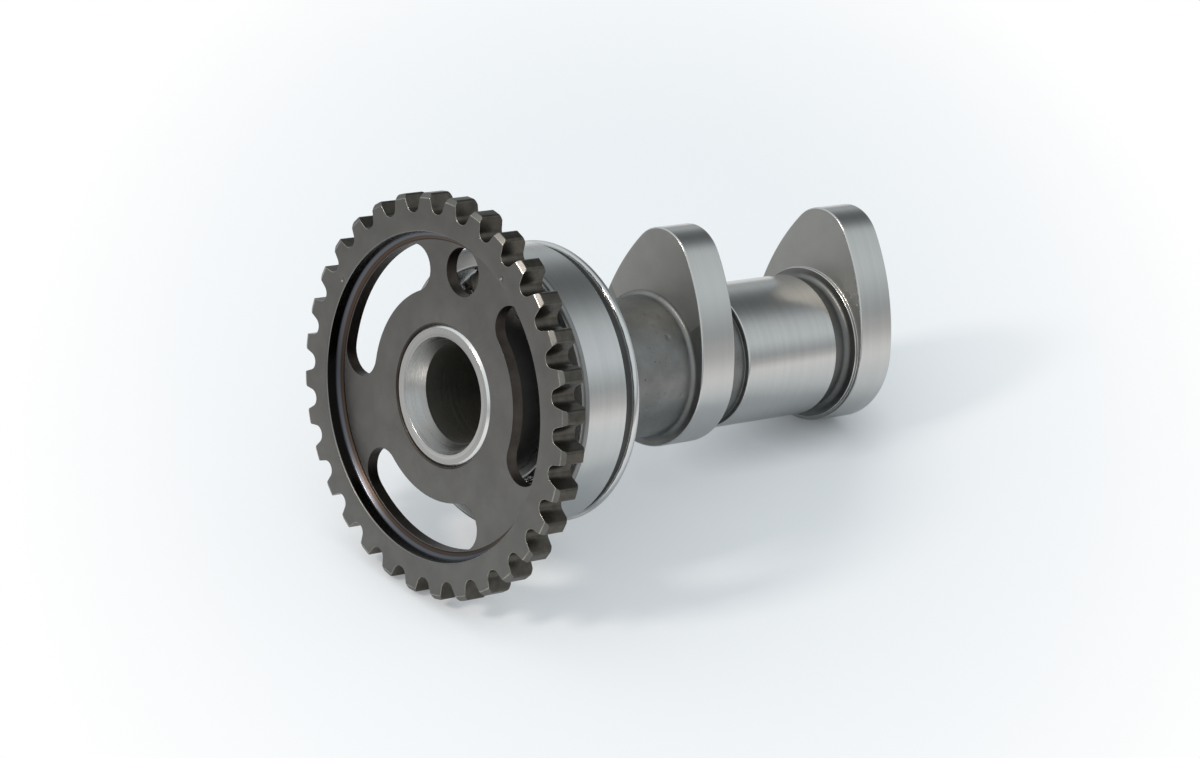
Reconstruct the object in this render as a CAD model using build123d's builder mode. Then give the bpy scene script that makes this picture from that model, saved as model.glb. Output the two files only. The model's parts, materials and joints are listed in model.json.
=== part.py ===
"""Camshaft of a small overhead-cam engine, with its chain sprocket and ball bearing.

Stations are measured in millimetres along the shaft, behind the front face of the
sprocket's rim. Angles are measured about the shaft from its upper side. The shaft lies
as it rests on a floor: on two sprocket teeth and on the base circle of the rear lobe.
The origin is the bearing's centre, X points towards the lobes and Z is up.
"""

import os
from math import asin, atan2, cos, degrees, hypot, pi, radians, sin, tan

from build123d import *

# Chain and teeth
tooth_count = 32
chain_pitch = 6.35
bush_dia = 3.30
bush_clearance = 0.05
root_relief = 0.44
addendum = 1.11
flank_angle = 20.6
root_flat_width = 0.1
tooth_corner_radius = 0.6
tip_bevel_length = 0.57
tip_bevel_depth = 0.9

# Sprocket body
rim_width = 4.8
rim_wall = 3.25
recess_edge_radius = 0.4
web_station = 2.65
web_cove_radius = 1.8
hub_radius = 14.5
hub_length = 8.2
hub_corner_radius = 1.0
bore_chamfer = 0.3

# Openings of the web: three curved slots on one pattern, and a round hole
slot_edge_margin = 1.55
slot_width = 7.8
slot_half_span = 29.6
slot_pattern_angle = 2.2
slot_spread = 65.4
round_hole_radius = 4.0
round_hole_angle = -1.0
timing_dot_radius = 0.6
timing_dot_depth = 0.3
timing_dot_setback = 1.15
timing_dot_angles = (-68.4, 24.5)

# Shaft
nose_step = 0.75
nose_chamfer = 0.5
mouth_flare = 1.5
mouth_length = 3.3
nose_bore_radius = 8.25
nose_bore_length = 34.0
drill_angle = 118.0
collar_rise = 2.5
collar_length = 2.5
barrel_setback = 1.9
barrel_length = 20.0
barrel_corner_radius = 0.9
journal_setback = 1.65
journal_length = 20.9
journal_chamfer = 0.4
relief_depth = 1.0
front_relief_length = 5.0
rear_relief_length = 4.1
relief_corner_radius = 1.0
end_boss_radius = 10.0
end_boss_length = 1.5
end_boss_chamfer = 0.4
centre_hole_radius = 2.5

# Lobes
lobe_width = 7.5
base_circle_radius = 13.9
lobe_nose_radius = 7.3
lobe_nose_distance = 17.0
lobe_flank_radius = 39.0
lobe_angle = -3.9
lobe_chamfer = 0.3
lobe_step_setback = 0.7
lobe_step_width = 0.6
lobe_step_corner_radius = 0.15

# Bearing
bearing_bore_radius = 12.5
bearing_section = 11.0
bearing_width = 12.0
groove_wall = 2.325
inner_groove_depth = 1.175
outer_groove_depth = 0.975
ring_corner_radius = 0.9
ring_inner_chamfer = 0.3
snap_groove_width = 1.45
snap_groove_depth = 0.7
snap_groove_setback = 1.6
ball_count = 10
race_play = 0.03
race_conformity = 1.03

# Cage
cage_thickness = 0.6
cage_clearance = 0.75
pocket_clearance = 0.1
rivet_radius = 0.7
rivet_head_radius = 1.1
rivet_head_height = 0.4

# Stations along the shaft
hub_end = rim_width + hub_length
bearing_front = hub_end
bearing_middle = bearing_front + bearing_width / 2
bearing_rear = bearing_front + bearing_width
collar_rear = bearing_rear + collar_length
front_lobe_start = collar_rear + barrel_length
front_lobe_end = front_lobe_start + lobe_width
journal_start = front_lobe_end + front_relief_length
journal_end = journal_start + journal_length
rear_lobe_start = journal_end + rear_relief_length
rear_lobe_end = rear_lobe_start + lobe_width
shaft_end = rear_lobe_end + end_boss_length

# Radii and half widths of the teeth, which follow the chain
pitch_radius = chain_pitch / (2 * sin(pi / tooth_count))
tip_radius = pitch_radius + addendum
root_radius = pitch_radius - bush_dia / 2 - root_relief
flank_slope = tan(radians(flank_angle))
gap_half_at_pitch = (bush_dia / 2 + bush_clearance) / cos(radians(flank_angle))
gap_half_at_root = gap_half_at_pitch - (pitch_radius - root_radius) * flank_slope
gap_half_at_tip = gap_half_at_pitch + (tip_radius - pitch_radius) * flank_slope
root_corner_radius = (gap_half_at_root - root_flat_width / 2) / tan(radians(45 - flank_angle / 2))

# Radii that follow the teeth, the bearing and the lobes
recess_radius = root_radius - rim_wall
slot_circle_radius = recess_radius - slot_edge_margin - slot_width / 2
timing_dot_circle_radius = recess_radius + timing_dot_setback
bearing_outer_radius = bearing_bore_radius + bearing_section
ball_circle_radius = (bearing_bore_radius + bearing_outer_radius) / 2
ball_radius = bearing_section / 2 - groove_wall
inner_shoulder_radius = ball_circle_radius - ball_radius + inner_groove_depth
outer_shoulder_radius = ball_circle_radius + ball_radius - outer_groove_depth
cage_inner_radius = inner_shoulder_radius + cage_clearance
cage_outer_radius = outer_shoulder_radius - cage_clearance
nose_radius = bearing_bore_radius - nose_step
mouth_radius = nose_bore_radius + mouth_flare
barrel_radius = base_circle_radius - barrel_setback
collar_radius = barrel_radius + collar_rise
journal_radius = base_circle_radius - journal_setback
relief_radius = journal_radius - relief_depth
lobe_step_radius = base_circle_radius - lobe_step_setback
lobe_step_start = rear_lobe_start - lobe_step_width

# The resting pose: two teeth on either side of a gap, and the rear lobe's base circle
rest_angle = asin((gap_half_at_tip + tooth_corner_radius / 2) / tip_radius)
rest_drop = tip_radius * cos(rest_angle) - base_circle_radius
rest_run = (rear_lobe_end - lobe_chamfer) - (rim_width - tip_bevel_length)
tilt = atan2(rest_drop, rest_run)

shaft_direction = (cos(tilt), 0, -sin(tilt))
upper_side = (sin(tilt), 0, cos(tilt))
front_centre = (-bearing_middle * cos(tilt), 0, bearing_middle * sin(tilt))
front_plane = Plane(origin=front_centre, x_dir=upper_side, z_dir=shaft_direction)
profile_plane = Plane(origin=front_centre, x_dir=shaft_direction, z_dir=(0, -1, 0))
shaft_axis = Axis(front_centre, shaft_direction)


def cross_section(station, angle=0.0):
    """The plane across the shaft at a station, turned about the shaft."""
    flat = front_plane.offset(station)
    return Plane(origin=flat.origin, x_dir=flat.x_dir.rotate(shaft_axis, angle), z_dir=flat.z_dir)


def bearing_spot(angle):
    """The plane across the shaft whose origin is on the ball circle."""
    flat = cross_section(bearing_middle, angle)
    spot = flat.from_local_coords((ball_circle_radius, 0, 0))
    return Plane(origin=spot, x_dir=flat.x_dir, z_dir=flat.z_dir)


# Sprocket: a turned blank, trimmed to the toothed outline
bevel_radius = tip_radius - tip_bevel_depth
gap_top = tip_radius + addendum
gap_half_at_top = gap_half_at_pitch + (gap_top - pitch_radius) * flank_slope
sprocket_outline = [
    (0, bevel_radius, 0),
    (tip_bevel_length, tip_radius, 0),
    (rim_width - tip_bevel_length, tip_radius, 0),
    (rim_width, bevel_radius, 0),
    (rim_width, hub_radius, hub_corner_radius),
    (hub_end, hub_radius, bore_chamfer),
    (hub_end, nose_radius, 0),
    (web_station + bore_chamfer, nose_radius, 0),
    (web_station, nose_radius + bore_chamfer, 0),
    (web_station, recess_radius, web_cove_radius),
    (0, recess_radius, recess_edge_radius),
]

with BuildPart() as sprocket:
    with BuildSketch(profile_plane):
        with BuildLine():
            FilletPolyline(
                [(station, radius) for station, radius, _ in sprocket_outline],
                radius=[corner for _, _, corner in sprocket_outline],
                close=True,
            )
        make_face()
    revolve(axis=shaft_axis)
    with BuildSketch(front_plane) as toothed_outline:
        Circle(tip_radius)
        with BuildSketch(mode=Mode.PRIVATE) as tooth_gap:
            with BuildLine():
                FilletPolyline(
                    (gap_top, -gap_half_at_top),
                    (root_radius, -gap_half_at_root),
                    (root_radius, gap_half_at_root),
                    (gap_top, gap_half_at_top),
                    radius=(0, root_corner_radius, root_corner_radius, 0),
                    close=True,
                )
            make_face()
        with PolarLocations(0, tooth_count):
            add(tooth_gap.sketch, mode=Mode.SUBTRACT)
        tip_corners = toothed_outline.vertices().filter_by(
            lambda corner: hypot(corner.X, corner.Y) > tip_radius - tooth_corner_radius
        )
        fillet(tip_corners, tooth_corner_radius)
    extrude(amount=hub_end, mode=Mode.INTERSECT)
    with BuildSketch(cross_section(0, slot_pattern_angle)):
        for slot_angle in (-slot_spread, slot_spread, 180):
            slot_start = slot_angle - slot_half_span
            with BuildLine():
                slot_line = CenterArc((0, 0), slot_circle_radius, slot_start, 2 * slot_half_span)
            SlotArc(slot_line, slot_width)
    with BuildSketch(cross_section(0, round_hole_angle)):
        with Locations((slot_circle_radius, 0)):
            Circle(round_hole_radius)
    extrude(amount=rim_width, mode=Mode.SUBTRACT)
    for dot_angle in timing_dot_angles:
        with Locations(cross_section(timing_dot_depth - timing_dot_radius, dot_angle)):
            with Locations((timing_dot_circle_radius, 0)):
                Sphere(timing_dot_radius, mode=Mode.SUBTRACT)

sprocket.part.label = "sprocket"


def lobe_points():
    """Where the lobe's nose, flank and base circle meet, for the flank on the +Y side."""
    flank_distance = lobe_flank_radius - base_circle_radius
    reach = lobe_flank_radius - lobe_nose_radius
    along = (flank_distance**2 + lobe_nose_distance**2 - reach**2) / (2 * lobe_nose_distance)
    flank_centre = Vector(along, -((flank_distance**2 - along**2) ** 0.5))
    nose_centre = Vector(lobe_nose_distance, 0)
    on_base = flank_centre * (-base_circle_radius / flank_distance)
    on_nose = nose_centre + (nose_centre - flank_centre).normalized() * lobe_nose_radius
    half_way = ((on_base + on_nose) / 2 - flank_centre).normalized()
    return on_base, flank_centre + half_way * lobe_flank_radius, on_nose


def cam_lobe(start):
    """One lobe: base circle, two curved flanks and a nose, with both edges broken."""
    on_base, on_flank, on_nose = lobe_points()
    with BuildPart() as lobe:
        with BuildSketch(cross_section(start, lobe_angle)):
            with BuildLine():
                ThreePointArc(on_base, on_flank, on_nose)
                ThreePointArc(on_nose, (lobe_nose_distance + lobe_nose_radius, 0), (on_nose.X, -on_nose.Y))
                ThreePointArc((on_nose.X, -on_nose.Y), (on_flank.X, -on_flank.Y), (on_base.X, -on_base.Y))
                ThreePointArc((on_base.X, -on_base.Y), (-base_circle_radius, 0), on_base)
            make_face()
        extrude(amount=lobe_width)
        chamfer(lobe.faces().filter_by(shaft_axis).edges(), lobe_chamfer)
    return lobe.part


# Camshaft: a turned and ground shaft, with the two lobes on it
drill_point_length = nose_bore_radius / tan(radians(drill_angle / 2))
mouth_end = web_station + mouth_length
nose_bore_end = mouth_end + nose_bore_length
lobe_core_radius = (base_circle_radius + barrel_radius) / 2
shaft_outline = [
    (web_station, mouth_radius, 0),
    (web_station, nose_radius - nose_chamfer, 0),
    (web_station + nose_chamfer, nose_radius, 0),
    (bearing_front, nose_radius, 0),
    (bearing_front, bearing_bore_radius, 0),
    (bearing_rear, bearing_bore_radius, 0),
    (bearing_rear, collar_radius, 0),
    (collar_rear, collar_radius, 0),
    (collar_rear, barrel_radius, barrel_corner_radius),
    (front_lobe_start, barrel_radius, barrel_corner_radius),
    (front_lobe_start, lobe_core_radius, 0),
    (front_lobe_end, lobe_core_radius, 0),
    (front_lobe_end, relief_radius, relief_corner_radius),
    (journal_start, relief_radius, 0),
    (journal_start, journal_radius - journal_chamfer, 0),
    (journal_start + journal_chamfer, journal_radius, 0),
    (journal_end - journal_chamfer, journal_radius, 0),
    (journal_end, journal_radius - journal_chamfer, 0),
    (journal_end, relief_radius, 0),
    (lobe_step_start, relief_radius, relief_corner_radius),
    (lobe_step_start, lobe_step_radius, lobe_step_corner_radius),
    (rear_lobe_start, lobe_step_radius, 0),
    (rear_lobe_start, lobe_core_radius, 0),
    (rear_lobe_end, lobe_core_radius, 0),
    (rear_lobe_end, end_boss_radius, 0),
    (shaft_end - end_boss_chamfer, end_boss_radius, 0),
    (shaft_end, end_boss_radius - end_boss_chamfer, 0),
    (shaft_end, centre_hole_radius, 0),
    (shaft_end - centre_hole_radius, 0, 0),
    (nose_bore_end + drill_point_length, 0, 0),
    (nose_bore_end, nose_bore_radius, 0),
    (mouth_end, nose_bore_radius, 0),
]
front_lobe = cam_lobe(front_lobe_start)
rear_lobe = cam_lobe(rear_lobe_start)

with BuildPart() as camshaft:
    with BuildSketch(profile_plane):
        with BuildLine():
            FilletPolyline(
                [(station, radius) for station, radius, _ in shaft_outline],
                radius=[corner for _, _, corner in shaft_outline],
                close=True,
            )
        make_face()
    revolve(axis=shaft_axis)
    add(front_lobe)
    add(rear_lobe)

camshaft.part.label = "camshaft"

# Bearing rings, with a ball groove in each
groove_radius = ball_radius * race_conformity
groove_offset = groove_radius - ball_radius - race_play
snap_groove_rear = bearing_rear - snap_groove_setback

with BuildPart() as bearing_outer_ring:
    with BuildSketch(profile_plane) as outer_section:
        with BuildLine():
            Polyline(
                (bearing_front, outer_shoulder_radius),
                (bearing_front, bearing_outer_radius),
                (bearing_rear, bearing_outer_radius),
                (bearing_rear, outer_shoulder_radius),
                close=True,
            )
        make_face()
        fillet(outer_section.vertices().group_by(Axis.Y)[-1], ring_corner_radius)
        chamfer(outer_section.vertices().group_by(Axis.Y)[0], ring_inner_chamfer)
        with Locations((bearing_middle, ball_circle_radius - groove_offset)):
            Circle(groove_radius, mode=Mode.SUBTRACT)
        with Locations((snap_groove_rear, bearing_outer_radius)):
            Rectangle(
                snap_groove_width,
                2 * snap_groove_depth,
                align=(Align.MAX, Align.CENTER),
                mode=Mode.SUBTRACT,
            )
    revolve(axis=shaft_axis)

bearing_outer_ring.part.label = "bearing_outer_ring"

with BuildPart() as bearing_inner_ring:
    with BuildSketch(profile_plane) as inner_section:
        with BuildLine():
            Polyline(
                (bearing_front, bearing_bore_radius),
                (bearing_front, inner_shoulder_radius),
                (bearing_rear, inner_shoulder_radius),
                (bearing_rear, bearing_bore_radius),
                close=True,
            )
        make_face()
        chamfer(inner_section.vertices(), ring_inner_chamfer)
        with Locations((bearing_middle, ball_circle_radius + groove_offset)):
            Circle(groove_radius, mode=Mode.SUBTRACT)
    revolve(axis=shaft_axis)

bearing_inner_ring.part.label = "bearing_inner_ring"

# Balls, evenly spaced on the ball circle
ball_step = 360 / ball_count
balls = []
for number in range(ball_count):
    with BuildPart(bearing_spot(number * ball_step)) as ball:
        Sphere(ball_radius)
    ball.part.label = f"ball_{number + 1:02d}"
    balls.append(ball.part)


def cage_half(side):
    """One pressed half of the ribbon cage, on one side of the balls' plane."""
    middle = cross_section(bearing_middle)
    shell_radius = ball_radius + pocket_clearance + cage_thickness
    with BuildPart() as half:
        with BuildSketch(middle):
            Circle(cage_outer_radius)
        extrude(amount=side * cage_thickness)
        with Locations(middle):
            with PolarLocations(ball_circle_radius, ball_count):
                Sphere(shell_radius)
        with BuildSketch(middle):
            Circle(cage_outer_radius)
            Circle(cage_inner_radius, mode=Mode.SUBTRACT)
        extrude(amount=side * shell_radius, mode=Mode.INTERSECT)
        with Locations(middle):
            with PolarLocations(ball_circle_radius, ball_count):
                Sphere(ball_radius + pocket_clearance, mode=Mode.SUBTRACT)
            with PolarLocations(ball_circle_radius, ball_count, start_angle=ball_step / 2):
                Cylinder(rivet_radius, 2 * shell_radius, mode=Mode.SUBTRACT)
    return half.part


cage_front = cage_half(-1)
cage_front.label = "cage_front"
cage_rear = cage_half(1)
cage_rear.label = "cage_rear"

# Rivets of the cage, midway between the balls
head_end = cage_thickness + rivet_head_height
rivets = []
for number in range(ball_count):
    spot = bearing_spot((number + 0.5) * ball_step)
    with BuildPart() as rivet:
        with BuildSketch(Plane(origin=spot.origin, x_dir=spot.x_dir, z_dir=-spot.y_dir)):
            with BuildLine():
                Polyline(
                    (0, -head_end),
                    (0, head_end),
                    (rivet_radius, head_end),
                    (rivet_head_radius, cage_thickness),
                    (rivet_radius, cage_thickness),
                    (rivet_radius, -cage_thickness),
                    (rivet_head_radius, -cage_thickness),
                    (rivet_radius, -head_end),
                    close=True,
                )
            make_face()
        revolve(axis=Axis(spot.origin, spot.z_dir))
    rivet.part.label = f"cage_rivet_{number + 1:02d}"
    rivets.append(rivet.part)

# Files, one for each piece
os.makedirs("parts", exist_ok=True)
turned = [camshaft.part, sprocket.part, bearing_outer_ring.part, bearing_inner_ring.part]
for piece in turned + balls + [cage_front, cage_rear] + rivets:
    export_step(piece, f"parts/{piece.label}.step")

print("tilt of the shaft", round(degrees(tilt), 3), "degrees")
print("pitch, tip and root radius", round(pitch_radius, 3), round(tip_radius, 3), round(root_radius, 3))
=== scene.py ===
"""Camshaft of a small overhead-cam engine, with its chain sprocket and ball bearing.

Sizes in the code are millimetres along and across the shaft. A station is measured
behind the front face of the sprocket's rim, and an angle about the shaft is measured
from its upper side. The origin is the bearing's centre.
"""

import json
from math import acos, atan2, cos, hypot, inf, pi, radians, sin, sqrt, tan

import bmesh
import bpy
import numpy as np
from mathutils import Matrix, Vector, noise
from mathutils.geometry import delaunay_2d_cdt


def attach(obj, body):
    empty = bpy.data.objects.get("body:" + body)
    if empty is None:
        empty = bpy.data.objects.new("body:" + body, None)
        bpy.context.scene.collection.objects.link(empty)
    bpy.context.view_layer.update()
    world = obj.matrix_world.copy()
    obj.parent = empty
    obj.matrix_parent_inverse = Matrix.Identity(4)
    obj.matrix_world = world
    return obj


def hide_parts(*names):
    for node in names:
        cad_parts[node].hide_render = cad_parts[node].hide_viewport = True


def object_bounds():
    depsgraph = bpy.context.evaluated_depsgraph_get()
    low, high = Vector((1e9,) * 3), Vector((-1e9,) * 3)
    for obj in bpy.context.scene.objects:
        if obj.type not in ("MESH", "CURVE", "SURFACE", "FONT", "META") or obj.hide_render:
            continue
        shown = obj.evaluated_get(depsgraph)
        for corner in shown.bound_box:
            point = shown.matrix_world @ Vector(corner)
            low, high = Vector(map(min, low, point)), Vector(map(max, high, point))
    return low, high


bl_info = {
    "name": "Camshaft with timing sprocket",
    "version": (1, 0, 0),
    "blender": (4, 5, 0),
    "location": "3D View > Sidebar > Camshaft",
    "description": "Builds a camshaft with chain sprocket and ball bearing, and a studio for it",
    "category": "Add Mesh",
}

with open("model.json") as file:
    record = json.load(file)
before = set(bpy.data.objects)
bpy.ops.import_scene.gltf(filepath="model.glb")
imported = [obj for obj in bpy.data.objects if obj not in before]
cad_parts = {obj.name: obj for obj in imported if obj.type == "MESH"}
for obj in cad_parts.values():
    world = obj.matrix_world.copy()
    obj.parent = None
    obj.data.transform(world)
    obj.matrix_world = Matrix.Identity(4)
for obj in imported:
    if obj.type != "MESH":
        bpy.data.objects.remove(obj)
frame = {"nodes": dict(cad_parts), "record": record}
CAD_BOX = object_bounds()

MM = 0.001
AXIS = Vector(frame["record"]["mounts"][0]["axis"])
UPPER = Vector((-AXIS.z, 0, AXIS.x))
SIDE = AXIS.cross(UPPER)
TILT = atan2(-AXIS.z, AXIS.x)

# Stations
RIM_WIDTH = 4.8
WEB = 2.65
CONE_END = WEB + 3.3
BORE_END = CONE_END + 34.0
BEARING_FRONT = 13.0
BEARING_MIDDLE = 19.0
BEARING_REAR = 25.0
COLLAR_REAR = 27.5
FRONT_LOBE = 47.5
JOURNAL = 60.0
JOURNAL_END = 80.9
STEP = 84.4
REAR_LOBE = 85.0
SHAFT_END = 94.0

# Radii of the shaft
BORE = 8.25
MOUTH = 9.75
NOSE = 11.75
SEAT = 12.5
COLLAR = 14.5
BARREL = 12.0
NECK = 11.25
JOURNAL_RADIUS = 12.25
STEP_RADIUS = 13.2
END_BOSS = 10.0
CENTRE_HOLE = 2.5

# Radii of the bearing, and the stations of its snap-ring groove
RING_OUTSIDE = 23.5
OUTER_SHOULDER = 20.2
INNER_SHOULDER = 16.0
GROOVE_FLOOR = 22.8
GROOVE_FRONT = 21.95
GROOVE_REAR = 23.7
BALL_CIRCLE = 18.0
BALL = 3.175
RACE_HALF_WIDTH = 2.2

# Tooth form, measured from the pitch circle
TIP_RISE = 1.11
ROOT_DEPTH = 2.09
GAP_HALF_WIDTH = 1.7
FLANK_TILT = radians(20.6)
TOOTH_EDGE = 0.1
WELD_RADIUS = 29.3

# Web of the sprocket, with the wall of its recess as (station, radius, rounding)
RECESS_WALL = (
    (0, 27.4, 0),
    (0.2, 27.2, 0.2),
    (1.95, 26.95, 0.45),
    (2.56, 25.9, 0.1),
    (WEB, 25.65, 0),
)
HUB = 14.5
OPENING_CIRCLE = 21.602
SLOT_MIDDLES = (radians(-63.2), radians(67.6), radians(182.2))
SLOT_HALF_SPAN = radians(29.6)
SLOT_HALF_WIDTH = 3.9
HOLE_ANGLE = radians(-1.0)
HOLE_RADIUS = 4.0
DOT_CIRCLE = 28.2
DOT_ANGLES = (radians(-68.4), radians(24.5))
DOT_BALL = 0.6
DOT_DEPTH = 0.3

# Studio, where places of lamps and sizes of the floor are metres
CAMERA_PLACE = (-401.93, -496.93, 360.41)
CAMERA_RIGHT = (0.76691, -0.64171, 0.00783)
CAMERA_UP = (0.30925, 0.38022, 0.87166)
KEY_DIRECTION = (-0.736, 0.133, 0.663)
KEY_DISTANCE = 1.2
KEY_AIM = (0.03, 0, 0)
KEY_SIZE = 0.23
FLOOR_HALF_WIDTH = 4.0
CONTACT_SHADE_REACH = 0.009


def place(station, up, side):
    """The point of the frame, in metres, at a station and a place across the shaft."""
    return AXIS * ((station - BEARING_MIDDLE) * MM) + UPPER * (up * MM) + SIDE * (side * MM)


def millimetres(length):
    return length / MM


def scaled(colour, factor):
    return tuple(channel * factor for channel in colour)


def new_object(name, data):
    """Adds a mesh, a lamp or a camera to the scene."""
    made = bpy.data.objects.new(name, data)
    bpy.context.scene.collection.objects.link(made)
    return made


# Outlines


def rounded(corners, steps=6, closed=False):
    """A polyline with its corners rounded. A corner is (x, y, radius)."""
    count = len(corners)
    points = []
    for index, (x, y, radius) in enumerate(corners):
        here = Vector((x, y))
        if radius == 0 or (not closed and index in (0, count - 1)):
            points.append(here)
            continue
        before = Vector(corners[index - 1][:2]) - here
        after = Vector(corners[(index + 1) % count][:2]) - here
        before.normalize()
        after.normalize()
        half = acos(max(-1, min(1, before.dot(after)))) / 2
        middle = (before + after).normalized()
        centre = here + middle * (radius / sin(half))
        start = here + before * (radius / tan(half)) - centre
        end = here + after * (radius / tan(half)) - centre
        turn = start.angle_signed(end)
        for step in range(steps + 1):
            points.append(centre + Matrix.Rotation(-turn * step / steps, 2) @ start)
    return [(p.x, p.y) for p in points]


def cut_fine(points, longest):
    """The polyline with extra points, so that no run is longer than longest."""
    fine = [points[0]]
    for (x0, y0), (x1, y1) in zip(points, points[1:]):
        parts = max(1, int(np.ceil(hypot(x1 - x0, y1 - y0) / longest)))
        shares = [i / parts for i in range(1, parts + 1)]
        fine += [(x0 + (x1 - x0) * share, y0 + (y1 - y0) * share) for share in shares]
    return fine


def polar(radius, angle, centre=(0, 0)):
    return centre[0] + radius * cos(angle), centre[1] + radius * sin(angle)


def arc(radius, start, end, steps, centre=(0, 0)):
    """Points along an arc, with both of its ends."""
    return [polar(radius, start + (end - start) * i / steps, centre) for i in range(steps + 1)]


def circle(radius, count=360, centre=(0, 0)):
    return arc(radius, 0, 2 * pi, count, centre)[:-1]


def edge_arc(radius, steps=3):
    """Places along and away from an edge that is rounded, from the face to the wall."""
    return arc(radius, pi, 1.5 * pi, steps, (radius, radius))


def inside(points, polygon):
    """Which of the points lie inside a closed polygon."""
    x, y = points[:, :1], points[:, 1:]
    ends = np.roll(polygon, -1, axis=0)
    x0, y0, x1, y1 = polygon[:, 0], polygon[:, 1], ends[:, 0], ends[:, 1]
    crosses = (y0 > y) != (y1 > y)
    rise = np.where(y1 == y0, 1e-12, y1 - y0)
    return (crosses & (x < (x1 - x0) * (y - y0) / rise + x0)).sum(axis=1) % 2 == 1


# Meshes


def new_piece(name, points, faces, material):
    """A mesh object from shaft coordinates (station, up, side)."""
    mesh = bpy.data.meshes.new(name)
    mesh.from_pydata([place(*p) for p in points], [], faces)
    mesh.materials.append(material)
    return new_object(name, mesh)


def per_face(mesh, what, width=1):
    """What a mesh knows of its faces, such as their areas, in a row for each face."""
    values = np.empty(len(mesh.polygons) * width, np.float32)
    mesh.polygons.foreach_get(what, values)
    return values.reshape(-1, width)


def even_normals(mesh):
    """Smooth shading in which large flat faces keep their own direction."""
    mesh.polygons.foreach_set("use_smooth", np.ones(len(mesh.polygons), bool))
    corner_vertex = np.empty(len(mesh.loops), np.int32)
    corners = np.empty(len(mesh.polygons), np.int32)
    mesh.loops.foreach_get("vertex_index", corner_vertex)
    mesh.polygons.foreach_get("loop_total", corners)
    weighted = per_face(mesh, "normal", 3) * per_face(mesh, "area") * 1e6
    normals = np.zeros((len(mesh.vertices), 3))
    np.add.at(normals, corner_vertex, np.repeat(weighted, corners, axis=0))
    normals /= np.maximum(np.linalg.norm(normals, axis=1, keepdims=True), 1e-12)
    mesh.normals_split_custom_set_from_vertices(normals)


def close_up(mesh):
    """Welds a closed shell, turns its faces outwards and smooths its shading."""
    shell = bmesh.new()
    shell.from_mesh(mesh)
    bmesh.ops.remove_doubles(shell, verts=shell.verts, dist=1e-6)
    bmesh.ops.recalc_face_normals(shell, faces=shell.faces)
    shell.to_mesh(mesh)
    shell.free()
    even_normals(mesh)


class Shell:
    """Vertices and faces gathered in shaft coordinates."""

    def __init__(self):
        self.points = []
        self.faces = []

    def ring(self, station, outline):
        """Adds a ring of points and returns its first index and its outline."""
        first = len(self.points)
        self.points += [(station, up, side) for up, side in outline]
        return first, np.array(outline)

    def wall(self, *rings):
        """Joins rings that follow each other."""
        for (first, outline), (second, _) in zip(rings, rings[1:]):
            count = len(outline)
            for i in range(count):
                j = (i + 1) % count
                self.faces.append((first + i, first + j, second + j, second + i))

    def tip(self, ring, station, centre=(0, 0)):
        """Closes a ring with a point."""
        first, outline = ring
        count, last = len(outline), len(self.points)
        self.points.append((station, *centre))
        self.faces += [(last, first + i, first + (i + 1) % count) for i in range(count)]

    def flat(self, outer, *holes):
        """Fills the flat region between an outer ring and the rings of its holes."""
        flat_points, edges, index = [], [], []
        for first, outline in (outer, *holes):
            start, count = len(flat_points), len(outline)
            flat_points += [Vector(p) for p in outline]
            index += range(first, first + count)
            edges += [(start + i, start + (i + 1) % count) for i in range(count)]
        places, _, triangles, origins, *_ = delaunay_2d_cdt(flat_points, edges, [], 0, 1e-7)
        middles = np.array([[sum(places[c][k] for c in t) / 3 for k in (0, 1)] for t in triangles])
        keep = inside(middles, outer[1])
        for _, outline in holes:
            keep &= ~inside(middles, outline)
        self.faces += [
            tuple(index[origins[c][0]] for c in triangle)
            for triangle, kept in zip(triangles, keep)
            if kept
        ]

    def piece(self, name, material):
        """The mesh object of a shell that is closed."""
        piece = new_piece(name, self.points, self.faces, material)
        close_up(piece.data)
        return piece


def turned(name, profile, material, segments=256, closed=True, centre=(0, 0)):
    """A turned piece from a profile of (station, radius), about a line along the shaft.

    A profile that isn't closed starts and ends on that line.
    """
    shell = Shell()
    sides = profile if closed else profile[1:-1]
    rings = [shell.ring(station, circle(radius, segments, centre)) for station, radius in sides]
    shell.wall(*rings)
    if closed:
        shell.wall(rings[-1], rings[0])
    else:
        shell.tip(rings[0], profile[0][0], centre)
        shell.tip(rings[-1], profile[-1][0], centre)
    return shell.piece(name, material)


def above(low):
    return low, inf


def below(high):
    return -inf, high


def give_finishes(piece, *rows):
    """Gives a material to the faces within its ranges of station, radius and slope.

    The slope is 1 on a face that looks along the shaft and 0 on one that looks across it.
    A row may leave out its last ranges, and a later row goes over an earlier one.
    """
    mesh, axis = piece.data, np.array(AXIS)
    centre = per_face(mesh, "center", 3) / MM
    along = centre @ axis
    radius = np.linalg.norm(centre - along[:, None] * axis, axis=1)
    slope = np.abs(per_face(mesh, "normal", 3) @ axis)
    index = np.zeros(len(along), np.int32)
    for number, (material, *ranges) in enumerate(rows, start=1):
        mesh.materials.append(material)
        picked = np.ones(len(along), bool)
        for measure, (low, high) in zip((along + BEARING_MIDDLE, radius, slope), ranges):
            picked &= (measure > low) & (measure < high)
        index[picked] = number
    mesh.polygons.foreach_set("material_index", index)


# Nodes


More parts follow.
